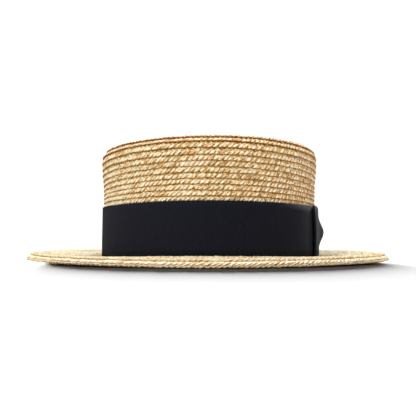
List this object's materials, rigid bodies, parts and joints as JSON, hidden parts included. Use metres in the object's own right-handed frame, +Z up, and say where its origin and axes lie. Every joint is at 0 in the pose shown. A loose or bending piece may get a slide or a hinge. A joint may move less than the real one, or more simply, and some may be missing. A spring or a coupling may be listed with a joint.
{
  "type": "straw boater hat",
  "caption": "Stiff straw hat with a flat tip, upright side and flat oval brim, a wide dark ribbon and a flat side bow.",
  "frame": {"origin": "middle of the hat's plan, on the surface that the brim stands on", "axes": "+Z up through the tip, +Y to the back of the hat, -Y to its front, +X to the wearer's left, where the bow is"},
  "size_m": [0.288, 0.318, 0.0884],
  "materials": {
    "straw": "natural wheat straw plait, half-gloss strands in cream, gold and tan",
    "ribbon": "matte blue-black ribbed grosgrain ribbon"
  },
  "bodies": {
    "root": {"crown": "straw", "brim": "straw", "hat_band": "ribbon", "bow_front_loop": "ribbon", "bow_back_loop": "ribbon", "bow_knot": "ribbon"}
  },
  "joints": []
}
